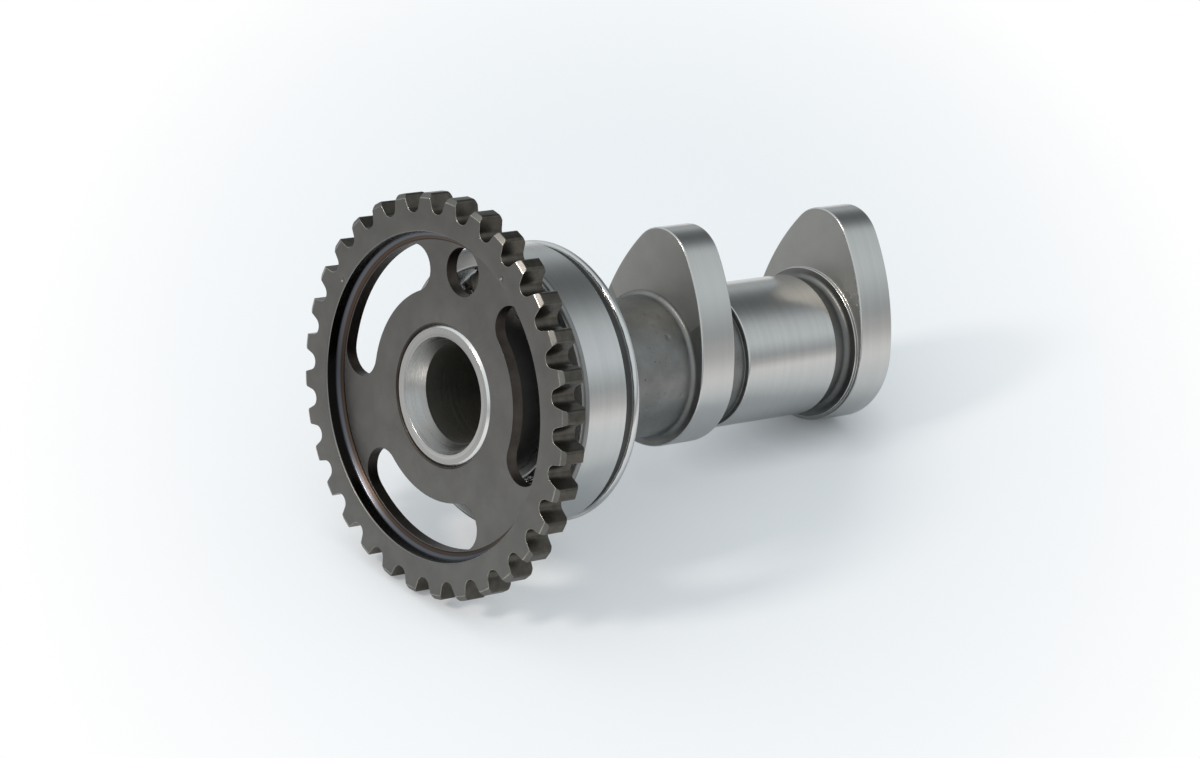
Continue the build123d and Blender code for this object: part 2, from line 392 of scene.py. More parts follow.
class Nodes:
    """Short ways to add and join the nodes of a tree."""

    def __init__(self, tree):
        self.tree = tree

    def put(self, socket, value):
        """Gives a socket a value or the output of another node."""
        if isinstance(value, bpy.types.NodeSocket):
            self.tree.links.new(value, socket)
        else:
            socket.default_value = value

    def node(self, kind, inputs=(), **settings):
        """Adds a node with its settings and its inputs, which go by name or number."""
        node = self.tree.nodes.new(kind)
        for key, value in settings.items():
            setattr(node, key, value)
        for key, value in dict(inputs).items():
            self.put(node.inputs[key], value)
        return node

    def math(self, operation, *values):
        return self.node("ShaderNodeMath", enumerate(values), operation=operation).outputs[0]

    def ramp(self, factor, *stops):
        """A colour ramp. A stop is (place, colour), and a number is a grey."""
        node = self.node("ShaderNodeValToRGB", {0: factor})
        elements = node.color_ramp.elements
        while len(elements) < len(stops):
            elements.new(0.5)
        for element, (spot, colour) in zip(elements, stops):
            element.position = spot
            grey = isinstance(colour, (int, float))
            element.color = (colour, colour, colour, 1) if grey else (*colour, 1)
        return node.outputs[0]

    def mix(self, factor, *colours):
        """A blend of two colours, from the first at 0 to the second at 1."""
        first, second = ((*c, 1) if isinstance(c, tuple) else c for c in colours)
        inputs = {0: factor, 6: first, 7: second}
        return self.node("ShaderNodeMix", inputs, data_type="RGBA").outputs[2]


def repeat_tree():
    """The node tree that sets copies round the shaft's axis."""
    tree = bpy.data.node_groups.new("Repeat round the shaft", "GeometryNodeTree")
    inputs = {
        "Geometry": "Geometry",
        "Repeated": "Object",
        "Count": "Int",
        "Axis": "Vector",
        "Weld": "Float",
        "Material": "Material",
    }
    for name, kind in inputs.items():
        tree.interface.new_socket(name, in_out="INPUT", socket_type="NodeSocket" + kind)
    tree.interface.new_socket("Geometry", in_out="OUTPUT", socket_type="NodeSocketGeometry")
    nodes = Nodes(tree)
    given = nodes.node("NodeGroupInput").outputs
    source = nodes.node("GeometryNodeObjectInfo", {"Object": given["Repeated"]})
    points = nodes.node("GeometryNodePoints", {"Count": given["Count"]})
    step = nodes.math("DIVIDE", 2 * pi, given["Count"])
    angle = nodes.math("MULTIPLY", nodes.node("GeometryNodeInputIndex").outputs[0], step)
    about = {"Axis": given["Axis"], "Angle": angle}
    turn = nodes.node("FunctionNodeAxisAngleToRotation", about).outputs[0]
    spread = {"Points": points.outputs[0], "Instance": source.outputs["Geometry"], "Rotation": turn}
    copies = nodes.node("GeometryNodeInstanceOnPoints", spread)
    joined = nodes.node("GeometryNodeJoinGeometry", {0: copies.outputs[0]})
    nodes.put(joined.inputs[0], given["Geometry"])
    real = nodes.node("GeometryNodeRealizeInstances", {0: joined.outputs[0]})
    close = {"Geometry": real.outputs[0], "Distance": given["Weld"]}
    welded = nodes.node("GeometryNodeMergeByDistance", close)
    dressed = {"Geometry": welded.outputs[0], "Material": given["Material"]}
    made = nodes.node("GeometryNodeSetMaterial", dressed)
    nodes.node("NodeGroupOutput", {0: made.outputs[0]})
    return tree


def repeat_round(piece, repeated, count, material):
    """Joins copies of a piece, evenly spaced round the shaft, to another and welds them."""
    tree = bpy.data.node_groups.get("Repeat round the shaft") or repeat_tree()
    modifier = piece.modifiers.new("repeat", "NODES")
    modifier.node_group = tree
    values = {
        "Repeated": repeated,
        "Count": count,
        "Axis": tuple(AXIS),
        "Weld": 0.002 * MM,
        "Material": material,
    }
    for item in tree.interface.items_tree:
        if item.in_out == "INPUT" and item.name in values:
            modifier[item.identifier] = values[item.name]
    bpy.context.view_layer.update()
    evaluated = piece.evaluated_get(bpy.context.evaluated_depsgraph_get())
    mesh = bpy.data.meshes.new_from_object(evaluated)
    piece.modifiers.remove(modifier)
    piece.data = mesh
    mesh.name = piece.name
    bpy.data.objects.remove(repeated)
    close_up(mesh)
    return piece


class Shader(Nodes):
    """The nodes of a new material."""

    def __init__(self, name):
        self.material = bpy.data.materials.new(name)
        self.material.use_nodes = True
        super().__init__(self.material.node_tree)
        self.surface = self.tree.nodes["Principled BSDF"]

    def set(self, **inputs):
        """Sets the surface's own sockets, named with underscores for spaces."""
        for key, value in inputs.items():
            self.put(self.surface.inputs[key.replace("_", " ")], value)


class Steel(Shader):
    """A bare steel whose nodes know their place on the shaft, in millimetres."""

    def __init__(self, name):
        super().__init__(name)
        self.set(Metallic=1.0)
        place_in = self.node("ShaderNodeTexCoord").outputs["Object"]
        turn = {"Vector": place_in, "Rotation": (0, -TILT, 0), "Scale": (1000, 1000, 1000)}
        self.point = self.node("ShaderNodeMapping", turn).outputs[0]
        self.along, side, up = self.node("ShaderNodeSeparateXYZ", {0: self.point}).outputs
        squares = [self.math("MULTIPLY", part, part) for part in (side, up)]
        self.radius = self.math("SQRT", self.math("ADD", *squares))
        self.side = self.math("DIVIDE", side, self.radius)
        self.up = self.math("DIVIDE", up, self.radius)

    def noise(self, vector, scale, detail):
        inputs = {"Vector": vector, "Scale": scale, "Detail": detail, "Roughness": 0.55}
        return self.node("ShaderNodeTexNoise", inputs).outputs[0]

    def lines(self, fineness, wander, faced):
        """Noise in lines that run round the shaft, on a faced end or on a cylinder."""
        inputs = {
            "X": self.math("MULTIPLY", self.radius if faced else self.along, fineness),
            "Y": self.math("MULTIPLY", self.side, wander),
            "Z": self.math("MULTIPLY", self.up, wander),
        }
        return self.noise(self.node("ShaderNodeCombineXYZ", inputs).outputs[0], 1.0, 2.0)

    def finished(self, colour, pattern, rough, depth):
        """The material, with a gloss and small bumps that follow a pattern."""
        gloss = self.ramp(pattern, (0.3, rough[0]), (0.7, rough[1]))
        bumps = {"Height": pattern, "Distance": depth * MM, "Strength": 1.0}
        normal = self.node("ShaderNodeBump", bumps).outputs[0]
        self.set(Base_Color=colour, Roughness=gloss, Normal=normal)
        return self.material


# Steels


def satin_steel(name, colour, rough, shade=0.78, grain_depth=0.006, cloud_scale=0.22, specks=0.0):
    """Steel with a satin skin, slightly uneven in colour and gloss, with dark specks."""
    steel = Steel(name)
    clouds = steel.ramp(steel.noise(steel.point, cloud_scale, 4.0), (0.36, 0.0), (0.66, 1.0))
    skin = steel.mix(clouds, scaled(colour, shade), tuple(colour))
    spots = steel.ramp(steel.noise(steel.point, 1.6, 2.0), (0.68, 0.0), (0.73, specks))
    grain = steel.noise(steel.point, 6.0, 3.0)
    return steel.finished(steel.mix(spots, skin, scaled(colour, 0.3)), grain, rough, grain_depth)


def ground_steel(name, colour, rough, line_depth, fineness=7.0, faced=False, shade=0.96):
    """Steel ground or turned round the shaft, with fine lines in that direction."""
    steel = Steel(name)
    bands = steel.ramp(steel.lines(1.1, 0.4, faced), (0.35, 0.0), (0.65, 1.0))
    skin = steel.mix(bands, scaled(colour, shade), tuple(colour))
    return steel.finished(skin, steel.lines(fineness, 0.6, faced), rough, line_depth)


def recess_with_painted_light(colour):
    """The turned recess, its colour painted with light and shade: a painted highlight at its edge,
    painted shade down its wall, a painted bluish highlight and a brown line at its foot.
    """
    steel = Steel("Polished recess")
    depth = 3.0
    # Painted light along the wall: a painted highlight at the edge, painted shade down the wall, a
    # painted bluish highlight and a brown line at the foot.
    painted_light_tints = (
        (0.18, (3.4, 3.3, 3.2)),
        (0.36, (0.42, 0.38, 0.36)),
        (1.89, (0.36, 0.35, 0.36)),
        (2.04, (1.0, 1.08, 1.28)),
        (2.22, (1.25, 1.3, 1.42)),
        (2.37, (0.6, 0.5, 0.44)),
        (2.505, (1.0, 0.62, 0.4)),
        (2.61, (0.5, 0.45, 0.42)),
    )
    stops = [(at / depth, tuple(c * t for c, t in zip(colour, tint))) for at, tint in painted_light_tints]
    station = steel.math("ADD", steel.along, BEARING_MIDDLE)
    skin = steel.ramp(steel.math("DIVIDE", station, depth), *stops)
    return steel.finished(skin, steel.lines(4.0, 0.6, True), (0.2, 0.25), 0.0002)


# Settings


def colour_property(name, what, default):
    description = f"Colour of {what}"
    return bpy.props.FloatVectorProperty(
        name=name, description=description, default=default, subtype="COLOR", size=3, min=0, max=1
    )


def length_property(name, description, default):
    return bpy.props.FloatProperty(
        name=name, description=description, default=default * MM, unit="LENGTH"
    )


class ShaftSettings(bpy.types.PropertyGroup):
    """Sizes and colours of the camshaft."""

    base_radius: length_property("Base circle", "Radius of the lobes' base circle", 13.9)
    nose_radius: length_property("Lobe nose", "Radius of the lobes' nose", 7.3)
    nose_distance: length_property("Nose distance", "From the axis to the nose's centre", 17.0)
    flank_radius: length_property("Lobe flank", "Radius of the lobes' curved flanks", 39.0)
    lobe_width: length_property("Lobe width", "Width of a lobe along the shaft", 7.5)
    lobe_angle: bpy.props.FloatProperty(
        name="Lobe angle",
        description="Turn of the lobes about the shaft",
        default=radians(-3.9),
        subtype="ANGLE",
    )
    edge_radius: length_property("Edge", "Rounding of the lobes' edges", 0.3)
    ground_colour: colour_property("Ground steel", "the ground surfaces", (0.56, 0.555, 0.54))
    milled_colour: colour_property("Lobe faces", "the lobes' milled faces", (0.335, 0.335, 0.32))
    forged_colour: colour_property("Forged skin", "the surfaces left as forged", (0.25, 0.25, 0.24))
    bored_colour: colour_property("Bore", "the hollow nose's bore", (0.27, 0.265, 0.24))


class SprocketSettings(bpy.types.PropertyGroup):
    """Sizes and colours of the sprocket."""

    tooth_count: bpy.props.IntProperty(
        name="Teeth", description="Number of teeth round the rim", default=32, min=8, max=80
    )
    chain_pitch: length_property("Chain pitch", "Distance between two bushes of the chain", 6.35)
    face_colour: colour_property("Face", "the satin faces", (0.165, 0.161, 0.152))
    gap_colour: colour_property("Tooth gaps", "the gaps between the teeth", (0.11, 0.1, 0.085))
    # Tooth edges are lighter partly for wear and partly as a painted highlight.
    edge_wear_and_highlight_colour: colour_property("Tooth edges", "the worn edges of the teeth, with painted highlight", (0.36, 0.34, 0.3))
    polish_colour: colour_property("Recess", "the recess's polished wall", (0.09, 0.088, 0.088))
    # The slots' dark colour is painted shade inside the openings.
    slot_shade_colour: colour_property("Slots", "the walls of the web's openings", (0.08, 0.067, 0.058))


class BearingSettings(bpy.types.PropertyGroup):
    """Sizes and colours of the ball bearing."""

    ball_count: bpy.props.IntProperty(
        name="Balls", description="Number of balls in the bearing", default=10, min=6, max=14
    )
    ring_colour: colour_property("Rings", "the ground rings", (0.58, 0.58, 0.57))
    # The cage's dark colour is painted shade for the gap between the rings.
    shaded_cage_colour: colour_property("Cage", "the pressed cage", (0.14, 0.13, 0.115))


class StageSettings(bpy.types.PropertyGroup):
    """Floor, lights and camera."""

    floor_colour: colour_property("Floor", "the pale floor", (0.86, 0.885, 0.91))
    # The glow is painted light: the floor glows pale for the camera, lifting its shadows.
    glow: bpy.props.FloatProperty(
        name="Glow", description="Share of pale haze over the floor", default=0.33, min=0, max=1
    )
    glow_colour: colour_property("Haze colour", "the haze over the floor", (0.91, 0.945, 0.97))
    sky_colour: colour_property("Surroundings", "the white tent", (0.79, 0.85, 0.88))
    key_power: bpy.props.FloatProperty(
        name="Key light", description="Power of the key light", default=6.4, unit="POWER"
    )
    key_colour: colour_property("Key colour", "the key light", (1.0, 0.9, 0.82))
    focal_length: bpy.props.FloatProperty(
        name="Lens", description="Focal length in millimetres, sensor 36 mm wide", default=133.07
    )


# Pieces


class CAMSHAFT_OT_shaft(bpy.types.Operator):
    """Builds the forged and ground shaft with its two lobes"""

    bl_idname = "camshaft.shaft"
    bl_label = "Build the camshaft"

    segments = 288

    def lobe_outline(self, look):
        """Points of a lobe's outline and the directions out of it, one for each segment."""
        base = millimetres(look.base_radius)
        nose = millimetres(look.nose_radius)
        distance = millimetres(look.nose_distance)
        flank = millimetres(look.flank_radius)
        reach = flank - base
        along = (reach**2 + distance**2 - (flank - nose) ** 2) / (2 * distance)
        flank_centre = Vector((along, -sqrt(reach**2 - along**2)))
        nose_centre = Vector((distance, 0))
        on_base = flank_centre * (-base / reach)
        on_nose = nose_centre + (nose_centre - flank_centre).normalized() * nose
        turn = Matrix.Rotation(look.lobe_angle, 2)
        outline = []
        for i in range(self.segments):
            angle = 2 * pi * i / self.segments - look.lobe_angle
            ray = Vector((cos(angle), sin(angle)))
            size = abs(atan2(ray.y, ray.x))
            if size < atan2(on_nose.y, on_nose.x):
                centre, radius = nose_centre, nose
            elif size < atan2(on_base.y, on_base.x):
                mirror = 1 if ray.y > 0 else -1
                centre, radius = Vector((flank_centre.x, flank_centre.y * mirror)), flank
            else:
                centre, radius = Vector((0, 0)), base
            middle = centre.dot(ray)
            point = ray * (middle + sqrt(middle**2 - centre.length_squared + radius**2))
            out = (point - centre).normalized()
            outline.append((turn @ point, turn @ out))
        return outline

    def lobe_rings(self, look, start):
        """Rings of one lobe, with both of its edges rounded."""
        outline = self.lobe_outline(look)
        end = start + millimetres(look.lobe_width)
        edge = edge_arc(millimetres(look.edge_radius), 5)
        sides = [(start + depth, inset) for depth, inset in edge]
        sides += [(end - depth, inset) for depth, inset in reversed(edge)]
        return [(s, [tuple(point - out * inset) for point, out in outline]) for s, inset in sides]

    def forged(self, station, ring):
        """A ring of the forged barrel, with its slight waves and small pits."""
        rough = []
        for up, side in ring:
            at = Vector((station, up, side))
            wave = 0.05 * noise.noise(at * 0.3) + 0.012 * noise.noise(at * 1.7)
            pit = max(0.0, noise.noise(at * 1.3 + Vector((40, 7, 3))) - 0.56) * 0.7
            grow = 1 + (wave - pit) / hypot(up, side)
            rough.append((up * grow, side * grow))
        return rough

    def turned_rings(self, corners):
        """Rings of a turned part, given by (station, radius, rounding)."""
        return [(station, circle(radius, self.segments)) for station, radius in rounded(corners)]

    def front_rings(self):
        """Rings from the bottom of the bore, over the nose and along the forged barrel."""
        corners = [
            (BORE_END + BORE / tan(radians(59)), 0, 0),
            (BORE_END, BORE, 0.3),
            (CONE_END, BORE, 0.2),
            (WEB, MOUTH, 0.15),
            (WEB, NOSE - 0.5, 0.08),
            (WEB + 0.45, NOSE, 0.08),
            (BEARING_FRONT, NOSE, 0.1),
            (BEARING_FRONT, SEAT, 0.1),
            (BEARING_REAR, SEAT, 0.1),
            (BEARING_REAR, COLLAR, 0.25),
            (COLLAR_REAR, COLLAR, 0.25),
            (COLLAR_REAR, BARREL, 0.9),
            (FRONT_LOBE, BARREL, 0.9),
            (FRONT_LOBE, 13.0, 0),
        ]
        profile = rounded(corners)
        straight = [i for i, (s, r) in enumerate(profile) if r == BARREL and s > COLLAR_REAR]
        first, last = straight[0], straight[1]
        start, end = profile[first], profile[last]
        profile[first : last + 1] = cut_fine([start, end], 0.3)
        rings = []
        for station, radius in profile:
            ring = circle(radius, self.segments)
            on_barrel = radius > BARREL - 0.1 and start[0] < station < end[0]
            rings.append((station, self.forged(station, ring) if on_barrel else ring))
        return rings

    def execute(self, context):
        look = context.scene.camshaft_shaft
        lobe_width = millimetres(look.lobe_width)
        front_lobe_end, rear_lobe_end = FRONT_LOBE + lobe_width, REAR_LOBE + lobe_width
        journal_side = [
            (front_lobe_end, 13.0, 0),
            (front_lobe_end, NECK, 1.0),
            (JOURNAL, NECK, 0.15),
            (JOURNAL, JOURNAL_RADIUS, 0.35),
            (JOURNAL_END, JOURNAL_RADIUS, 0.35),
            (JOURNAL_END, NECK, 0.15),
            (STEP, NECK, 1.0),
            (STEP, STEP_RADIUS, 0.15),
            (REAR_LOBE, STEP_RADIUS, 0.1),
            (REAR_LOBE, STEP_RADIUS + 0.1, 0),
        ]
        end_side = [
            (rear_lobe_end, END_BOSS + 0.2, 0),
            (rear_lobe_end, END_BOSS, 0.1),
            (SHAFT_END, END_BOSS, 0.4),
            (SHAFT_END, CENTRE_HOLE, 0.1),
            (SHAFT_END - CENTRE_HOLE, 0, 0),
        ]
        sides = self.front_rings() + self.lobe_rings(look, FRONT_LOBE)
        sides += self.turned_rings(journal_side) + self.lobe_rings(look, REAR_LOBE)
        sides += self.turned_rings(end_side)
        shell = Shell()
        rings = [shell.ring(station, outline) for station, outline in sides[1:-1]]
        shell.wall(*rings)
        shell.tip(rings[0], sides[0][0])
        shell.tip(rings[-1], sides[-1][0])
        bright, skin = look.ground_colour, look.forged_colour
        ground = ground_steel("Ground camshaft steel", bright, (0.19, 0.23), 0.00006)
        milled = satin_steel("Milled lobe faces", look.milled_colour, (0.42, 0.55), 0.93, 0.004)
        forged = satin_steel("Forged skin", skin, (0.35, 0.5), 0.8, 0.012, specks=0.8)
        bored = ground_steel("Bored nose", look.bored_colour, (0.45, 0.6), 0.002, 3.0)
        cone = ground_steel("Turned cone", scaled(bright, 0.95), (0.25, 0.4), 0.004, 3.0)
        relief = satin_steel("Turned relief", scaled(skin, 0.75), (0.35, 0.5), 0.8, 0.003)
        faced = ground_steel("Faced ring", scaled(bright, 0.82), (0.2, 0.3), 0.001, 5.0, True, 0.8)
        # The polished nose edge is coloured lighter than the ground steel, a painted highlight.
        edge = ground_steel("Polished nose edge", scaled(bright, 1.35), (0.2, 0.25), 0.0)
        piece = shell.piece("camshaft_body", ground)
        give_finishes(
            piece,
            (milled, (FRONT_LOBE - 0.1, SHAFT_END - 1), above(10.4), above(0.95)),
            (forged, (COLLAR_REAR - 0.1, FRONT_LOBE + 0.001), below(14.4)),
            (forged, (front_lobe_end - 0.001, JOURNAL), below(13.5)),
            (relief, (JOURNAL_END, STEP + 0.01), below(12.9)),
            (faced, below(WEB + 1)),
            (edge, below(WEB + 0.5), above(11.2), below(0.98)),
            (cone, below(CONE_END), below(MOUTH - 0.05)),
            (bored, (CONE_END - 0.1, FRONT_LOBE), below(BORE + 0.05)),
        )
        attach(piece, "shaft")
        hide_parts("camshaft")
        return {"FINISHED"}


class CAMSHAFT_OT_bearing(bpy.types.Operator):
    """Builds the rings of the ball bearing and finishes its cage and balls"""

    bl_idname = "camshaft.bearing"
    bl_label = "Build the bearing"

    def execute(self, context):
        look = context.scene.camshaft_bearing
        colour = look.ring_colour
        steel = ground_steel("Ground bearing steel", colour, (0.19, 0.25), 0.0001, 6.0)
        bright = ground_steel("Polished edge", scaled(colour, 1.1), (0.06, 0.1), 0.0)
        side = satin_steel("Bearing side", tuple(colour), (0.26, 0.36), 0.9, 0.003)
        # The rings' front corner is darkened as painted shade.
        corner = satin_steel("Bearing corner", scaled(colour, 0.42), (0.32, 0.42), 0.9, 0.003)
        # The snap-ring groove is darkened as painted shade.
        groove = satin_steel("Snap-ring groove", scaled(colour, 0.16), (0.35, 0.5), 0.8, 0.003)
        race_front, race_rear = BEARING_MIDDLE - RACE_HALF_WIDTH, BEARING_MIDDLE + RACE_HALF_WIDTH
        outer = [
            (BEARING_FRONT, OUTER_SHOULDER, 0.3),
            (BEARING_FRONT, RING_OUTSIDE, 0.9),
            (GROOVE_FRONT, RING_OUTSIDE, 0.12),
            (GROOVE_FRONT, GROOVE_FLOOR, 0.2),
            (GROOVE_REAR, GROOVE_FLOOR, 0.2),
            (GROOVE_REAR, RING_OUTSIDE, 0.55),
            (BEARING_REAR, RING_OUTSIDE, 0.6),
            (BEARING_REAR, OUTER_SHOULDER, 0.3),
            (race_rear, OUTER_SHOULDER, 0.1),
            (BEARING_MIDDLE, 21.22, 2.6),
            (race_front, OUTER_SHOULDER, 0.1),
        ]
        inner = [
            (BEARING_FRONT, SEAT, 0.3),
            (BEARING_FRONT, INNER_SHOULDER, 0.3),
            (race_front, INNER_SHOULDER, 0.1),
            (BEARING_MIDDLE, 14.78, 2.6),
            (race_rear, INNER_SHOULDER, 0.1),
            (BEARING_REAR, INNER_SHOULDER, 0.3),
            (BEARING_REAR, SEAT, 0.3),
        ]
        rows = (
            ("outer_ring", outer, "outer_ring", "bearing_outer_ring"),
            ("inner_ring", inner, "shaft", "bearing_inner_ring"),
        )
        for name, corners, body, node in rows:
            piece = turned(name, rounded(corners, closed=True), steel)
            give_finishes(
                piece,
                (side, below(BEARING_FRONT + 0.85), above(12.6)),
                (corner, below(BEARING_FRONT + 0.85), above(22.61), below(0.99)),
                (groove, (GROOVE_FRONT - 0.05, GROOVE_REAR + 0.02), (22, 22.98)),
                (bright, (GROOVE_REAR - 0.5, GROOVE_REAR + 0.6), above(22.96)),
            )
            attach(piece, body)
            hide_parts(node)
        # The cage is coloured dark as painted shade for the gap between the rings.
        cage = satin_steel("Pressed cage steel", look.shaded_cage_colour, (0.3, 0.45))
        for name in ("cage_front", "cage_rear"):
            frame["nodes"][name].material_slots[0].material = cage
        self.balls(look)
        self.rivets(look, cage)
        return {"FINISHED"}

    def balls(self, look):
        """The balls, in one piece that turns with the cage."""
        colour = scaled(look.ring_colour, 1.1)
        polished = satin_steel("Polished balls", colour, (0.05, 0.08), 0.95, 0.0)
        profile = arc(BALL, pi, 0, 24, (BEARING_MIDDLE, 0))
        ball = turned("ball", profile, polished, 48, False, (BALL_CIRCLE, 0))
        piece = repeat_round(new_piece("balls", [], [], polished), ball, look.ball_count, polished)
        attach(piece, "cage")
        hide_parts(*(f"ball_{number + 1:02d}" for number in range(look.ball_count)))

    def rivets(self, look, steel):
        """The rivets of the cage, each midway between two balls."""
        front = [(-1.0, 0, 0), (-1.0, 0.72, 0.2), (-0.6, 1.08, 0.05), (-0.6, 0.69, 0)]
        rear = [(-station, radius, edge) for station, radius, edge in reversed(front)]
        corners = [(BEARING_MIDDLE + station, *rest) for station, *rest in front + rear]
        half = pi / look.ball_count
        centre = polar(BALL_CIRCLE, half)
        rivet = turned("rivet", rounded(corners, steps=3), steel, 24, False, centre)
        piece = repeat_round(new_piece("cage_rivets", [], [], steel), rivet, look.ball_count, steel)
        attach(piece, "cage")
        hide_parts(*(f"cage_rivet_{number + 1:02d}" for number in range(look.ball_count)))


class CAMSHAFT_OT_sprocket(bpy.types.Operator):
    """Builds the toothed sprocket with its recessed and slotted web"""

    bl_idname = "camshaft.sprocket"
    bl_label = "Build the sprocket"

    def gap_outline(self, look):
        """The outline of a tooth gap between the middles of two teeth, and the tips' radius."""
        half_tooth = pi / look.tooth_count
        pitch = millimetres(look.chain_pitch) / (2 * sin(half_tooth))
        tip, root = pitch + TIP_RISE, pitch - ROOT_DEPTH
        slope = tan(FLANK_TILT)
        half_at_root = GAP_HALF_WIDTH / cos(FLANK_TILT) - ROOT_DEPTH * slope
        corner = (half_at_root - 0.05) / tan((pi / 2 - FLANK_TILT) / 2)
        reach = half_at_root - root * slope
        top = (sqrt(tip**2 * (1 + slope**2) - reach**2) - slope * reach) / (1 + slope**2)
        corners = [
            (root, 0, 0),
            (root, half_at_root, corner),
            (top, reach + top * slope, 0.6),
            (*polar(tip, half_tooth), 0),
        ]
        half = cut_fine(rounded(corners, steps=7), 0.2)
        return [(up, -side) for up, side in reversed(half[1:])] + half, tip

    def teeth(self, look, material):
        """A gap with its walls and the rim's faces beside it, and the angles of its points."""
        outline, tip = self.gap_outline(look)
        corners = np.array(outline)
        turn = 2 * pi / look.tooth_count
        sweep = np.array([[cos(turn), sin(turn)], [-sin(turn), cos(turn)]])
        before, after = corners[-2] @ np.linalg.inv(sweep), corners[1] @ sweep
        line = np.vstack([before, corners, after])
        along = line[2:] - line[:-2]
        out = np.stack([along[:, 1], -along[:, 0]], axis=1)
        out /= np.linalg.norm(out, axis=1, keepdims=True)
        middle = RIM_WIDTH / 2
        bevel = [(0, tip - 1.6, 0), (0, tip - 0.9, 0.2), (0.57, tip, 0.25), (middle, tip, 0)]
        bevel = [(max(station, 0), radius) for station, radius in rounded(bevel, steps=4)[1:]]
        front = {round(station, 4) for station, _ in bevel + edge_arc(TOOTH_EDGE)}
        front = sorted(front | {0.2, 0.3, 0.4})
        stations = front + [RIM_WIDTH - station for station in reversed(front[:-1])]
        bevel_stations, limits = zip(*bevel)
        depths, insets = zip(*edge_arc(TOOTH_EDGE, 12))
        angles = np.arctan2(corners[:, 1], corners[:, 0])
        inner = np.stack([np.cos(angles), np.sin(angles)], axis=1) * WELD_RADIUS
        rows = [(0, inner)]
        for station in stations:
            depth = min(station, RIM_WIDTH - station)
            row = corners - out * np.interp(depth, depths, insets)
            size = np.linalg.norm(row, axis=1, keepdims=True)
            limit = np.interp(depth, bevel_stations, limits)
            rows.append((station, row * np.minimum(1, limit / size)))
        rows.append((RIM_WIDTH, inner))
        points = [(station, up, side) for station, row in rows for up, side in row]
        width = len(corners)
        starts = [r * width + i for r in range(len(rows) - 1) for i in range(width - 1)]
        faces = [(start, start + 1, start + width + 1, start + width) for start in starts]
        angles = [angle + turn * k for k in range(look.tooth_count) for angle in angles[:-1]]
        return new_piece("tooth_gap", points, faces, material), angles

    def slot_outline(self, middle, offset):
        """The outline of a curved slot, larger by an offset."""
        half_width = SLOT_HALF_WIDTH + offset
        start, end = middle - SLOT_HALF_SPAN, middle + SLOT_HALF_SPAN
        at_start, at_end = polar(OPENING_CIRCLE, start), polar(OPENING_CIRCLE, end)
        outline = arc(OPENING_CIRCLE + half_width, start, end, 40)
        outline += arc(half_width, end, end + pi, 16, at_end)[1:-1]
        outline += arc(OPENING_CIRCLE - half_width, end, start, 40)
        return outline + arc(half_width, start + pi, start + 2 * pi, 16, at_start)[1:-1]

    def openings(self):
        """The outlines of the web's openings, as functions of an offset."""
        slots = [
            lambda offset, middle=middle: self.slot_outline(middle, offset)
            for middle in SLOT_MIDDLES
        ]
        at_hole = polar(OPENING_CIRCLE, HOLE_ANGLE)
        return slots + [lambda offset: circle(HOLE_RADIUS + offset / 2, 64, at_hole)]

    def timing_dot(self, shell, angle):
        """Adds a small round dimple to the rim and returns the ring of its edge."""
        centre = polar(DOT_CIRCLE, angle)
        rings = [
            shell.ring(DOT_BALL * cos(t) - DOT_DEPTH, circle(DOT_BALL * sin(t), 24, centre))
            for t in (radians(60), radians(48), radians(36), radians(24), radians(10))
        ]
        shell.wall(*rings)
        shell.tip(rings[-1], DOT_DEPTH, centre)
        return rings[0]

    def web(self, angles):
        """The sprocket inside its toothed rim, with the rim's inner points at these angles."""
        shell = Shell()
        weld = [polar(WELD_RADIUS, angle) for angle in angles]
        front_rim, rear_rim = shell.ring(0, weld), shell.ring(RIM_WIDTH, weld)
        profile = cut_fine(rounded(RECESS_WALL, 5), 0.4)
        recess = [shell.ring(station, circle(radius)) for station, radius in profile]
        shell.wall(*recess)
        dots = [self.timing_dot(shell, angle) for angle in DOT_ANGLES]
        shell.flat(front_rim, recess[0], *dots)
        front_edges, rear_edges = [], []
        for opening in self.openings():
            walls = [shell.ring(WEB + depth, opening(away)) for depth, away in edge_arc(0.08)]
            rear = reversed(edge_arc(0.12))
            walls += [shell.ring(RIM_WIDTH - depth, opening(away)) for depth, away in rear]
            shell.wall(*walls)
            front_edges.append(walls[0])
            rear_edges.append(walls[-1])
        chamfer = 0.3
        mouth = shell.ring(WEB, circle(NOSE + chamfer))
        bore = shell.ring(WEB + chamfer, circle(NOSE))
        shell.wall(mouth, bore)
        shell.flat(recess[-1], *front_edges, mouth)
        hub = [
            (RIM_WIDTH, HUB + 2, 0),
            (RIM_WIDTH, HUB, 1.0),
            (BEARING_FRONT, HUB, 0.3),
            (BEARING_FRONT, 12.6, 0),
            (BEARING_FRONT, NOSE, 0),
        ]
        hub_rings = [shell.ring(station, circle(radius)) for station, radius in rounded(hub)[1:]]
        shell.wall(*hub_rings, bore)
        shell.flat(rear_rim, *rear_edges, hub_rings[0])
        return shell

    def execute(self, context):
        look = context.scene.camshaft_sprocket
        satin = satin_steel("Satin sprocket steel", look.face_colour, (0.36, 0.48), 0.86)
        gap, angles = self.teeth(look, satin)
        web = self.web(angles)
        piece = new_piece("sprocket_body", web.points, web.faces, satin)
        repeat_round(piece, gap, look.tooth_count, satin)
        gaps = satin_steel("Tooth gaps", look.gap_colour, (0.26, 0.4), 0.7, 0.004, 0.6)
        # The recess's colour holds a painted highlight at its edge, painted shade down its wall and
        # a painted highlight near its foot.
        polished = recess_with_painted_light(look.polish_colour)
        # The tooth edges' light colour is partly wear and partly a painted highlight.
        worn_and_highlit = satin_steel("Worn tooth edges", look.edge_wear_and_highlight_colour, (0.2, 0.3), 0.6, 0.002, 0.8)
